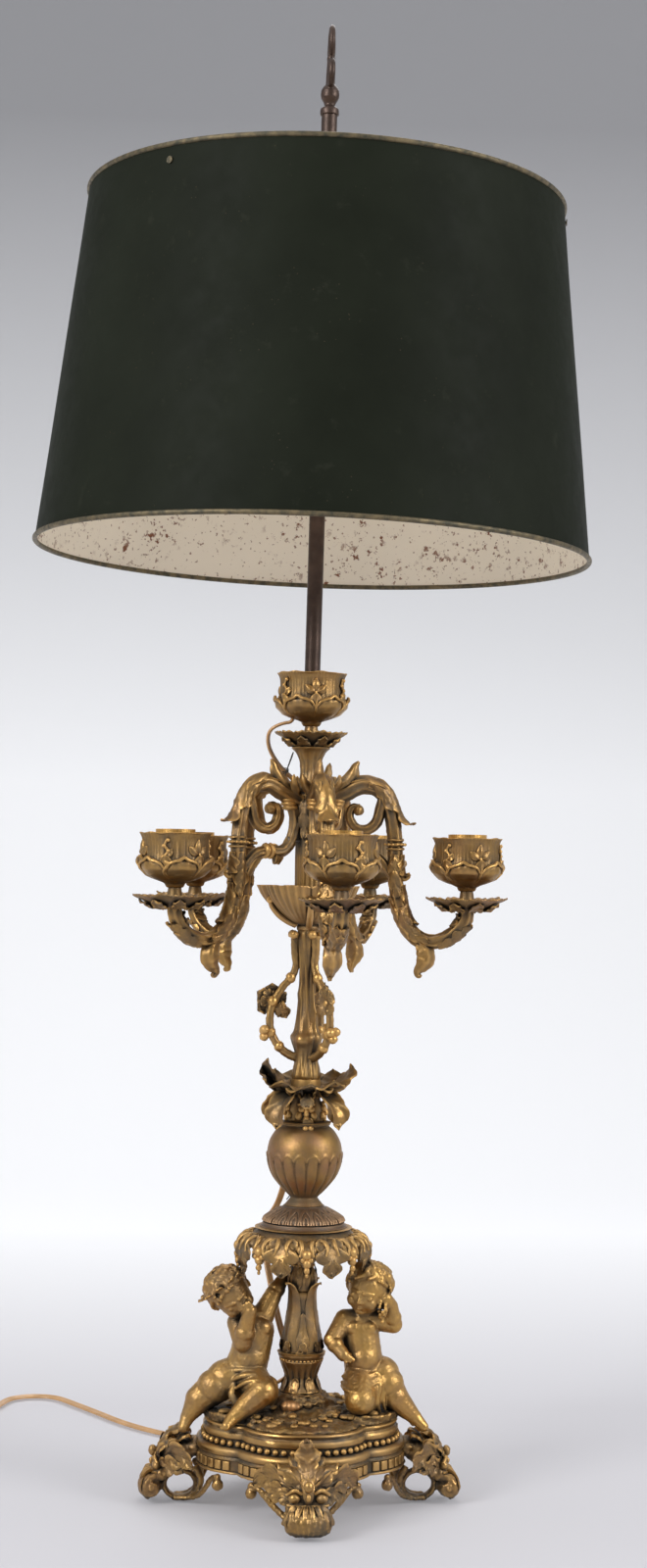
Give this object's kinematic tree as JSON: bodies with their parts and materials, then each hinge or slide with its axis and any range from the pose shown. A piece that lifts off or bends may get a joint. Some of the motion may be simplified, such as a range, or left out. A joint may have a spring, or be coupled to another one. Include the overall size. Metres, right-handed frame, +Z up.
{
  "type": "table lamp",
  "caption": "Gilt figural candelabra with scrolled arms, kneeling children and pierced feet, fitted as a table lamp with a leaning rod, dark green cone shade, loop finial and flat cord.",
  "frame": {"origin": "on the floor under the middle of the base", "axes": "+Z up, -Y towards the viewer of the picture (front foot), +X to the right"},
  "size_m": [0.5347, 0.5282, 1.0539],
  "materials": {
    "gilt_bronze": "aged gilt bronze, dark olive patina in the recesses",
    "gilt_light": "satin gilt bronze, less patina",
    "copper_gold": "brighter reddish gilt",
    "brown_bronze": "brown lacquered tube",
    "tole_green": "old satin dark green enamel outside, cream inside",
    "rim_brass": "worn",
    "spider_steel": "cream paint, worn",
    "socket_brass": "satin",
    "knob_brown": "glossy",
    "bulb_glass": "frosted",
    "hidden_steel": "plain",
    "clear_gold_cord": "clear gold",
    "plug_brown": "glossy"
  },
  "bodies": {
    "candelabra": {"foot_right": "gilt_bronze", "foot_back": "gilt_bronze", "foot_left": "gilt_bronze", "foot_front": "gilt_bronze", "base_plinth": "gilt_bronze", "ground_mound": "gilt_bronze", "column_cup": "gilt_bronze", "leaf_vase": "gilt_bronze", "vase_neck": "gilt_bronze", "drip_skirt": "gilt_bronze", "canopy_cap": "gilt_bronze", "leaf_whorl": "gilt_bronze", "leaf_cup": "gilt_bronze", "trunk_stem": "gilt_bronze", "vine_loops": "gilt_bronze", "arm_hub": "gilt_bronze", "hub_crown": "gilt_bronze", "drip_pans": "gilt_bronze", "arm_1": "gilt_bronze", "arm_2": "gilt_bronze", "arm_3": "gilt_bronze", "arm_4": "gilt_bronze", "arm_5": "gilt_bronze", "candle_cup_1": "gilt_bronze", "candle_cup_2": "gilt_bronze", "candle_cup_3": "gilt_bronze", "candle_cup_4": "gilt_bronze", "candle_cup_5": "gilt_bronze", "top_drip_pan": "gilt_bronze", "candle_cup_top": "gilt_bronze", "putto_left": "gilt_light", "putto_right": "gilt_light", "urn": "gilt_light", "shell_dish": "copper_gold", "flower_spray": "copper_gold", "foot_screws": "hidden_steel", "arm_screws": "hidden_steel", "tie_rod": "hidden_steel", "lamp_rod": "brown_bronze", "rod_bush": "brown_bronze", "socket_cluster": "brown_bronze", "sockets": "socket_brass", "bulbs": "bulb_glass", "cord_lead": "clear_gold_cord", "cord_coil": "clear_gold_cord", "plug": "plug_brown"},
    "insert_1": {"candle_insert_1": "gilt_light"},
    "insert_2": {"candle_insert_2": "gilt_light"},
    "insert_3": {"candle_insert_3": "gilt_light"},
    "insert_4": {"candle_insert_4": "gilt_light"},
    "insert_5": {"candle_insert_5": "gilt_light"},
    "clamp": {"clamp_collar": "brown_bronze"},
    "shade": {"shade_shell": "tole_green", "shade_rims": "rim_brass", "shade_spider": "spider_steel", "spider_rivets": "rim_brass"},
    "thumb_screw": {"thumb_screw": "brown_bronze"},
    "knob_1": {"switch_knob_1": "knob_brown"},
    "knob_2": {"switch_knob_2": "knob_brown"},
    "finial": {"finial_handle": "brown_bronze"}
  },
  "joints": [
    {"name": "insert_1_lift", "type": "slide", "parent": "candelabra", "child": "insert_1", "axis": [0, 0, 1], "range_m": [0, 0.03]},
    {"name": "insert_2_lift", "type": "slide", "parent": "candelabra", "child": "insert_2", "axis": [0, 0, 1], "range_m": [0, 0.03]},
    {"name": "insert_3_lift", "type": "slide", "parent": "candelabra", "child": "insert_3", "axis": [0, 0, 1], "range_m": [0, 0.03]},
    {"name": "insert_4_lift", "type": "slide", "parent": "candelabra", "child": "insert_4", "axis": [0, 0, 1], "range_m": [0, 0.03]},
    {"name": "insert_5_lift", "type": "slide", "parent": "candelabra", "child": "insert_5", "axis": [0, 0, 1], "range_m": [0, 0.03]},
    {"name": "clamp_height", "type": "slide", "parent": "candelabra", "child": "clamp", "axis": [0.0148, 0, 0.9999], "range_m": [-0.03, 0.05]},
    {"name": "shade_turn", "type": "hinge", "parent": "clamp", "child": "shade", "pos_m": [0.00487, 0, 0.90296], "axis": [0.0148, 0, 0.9999], "continuous": true},
    {"name": "thumb_screw_turn", "type": "hinge", "parent": "clamp", "child": "thumb_screw", "pos_m": [0.00487, 0, 0.90296], "axis": [-0.8659, 0.5, 0.0128], "range_deg": [0, 360]},
    {"name": "knob_1_turn", "type": "hinge", "parent": "candelabra", "child": "knob_1", "pos_m": [0.0447, 0, 0.75652], "axis": [0.9999, 0, -0.0148], "continuous": true},
    {"name": "knob_2_turn", "type": "hinge", "parent": "candelabra", "child": "knob_2", "pos_m": [-0.03929, 0, 0.75776], "axis": [-0.9999, 0, 0.0148], "continuous": true},
    {"name": "finial_turn", "type": "hinge", "parent": "candelabra", "child": "finial", "pos_m": [0.00622, 0, 0.99395], "axis": [0.0148, 0, 0.9999], "continuous": true}
  ]
}
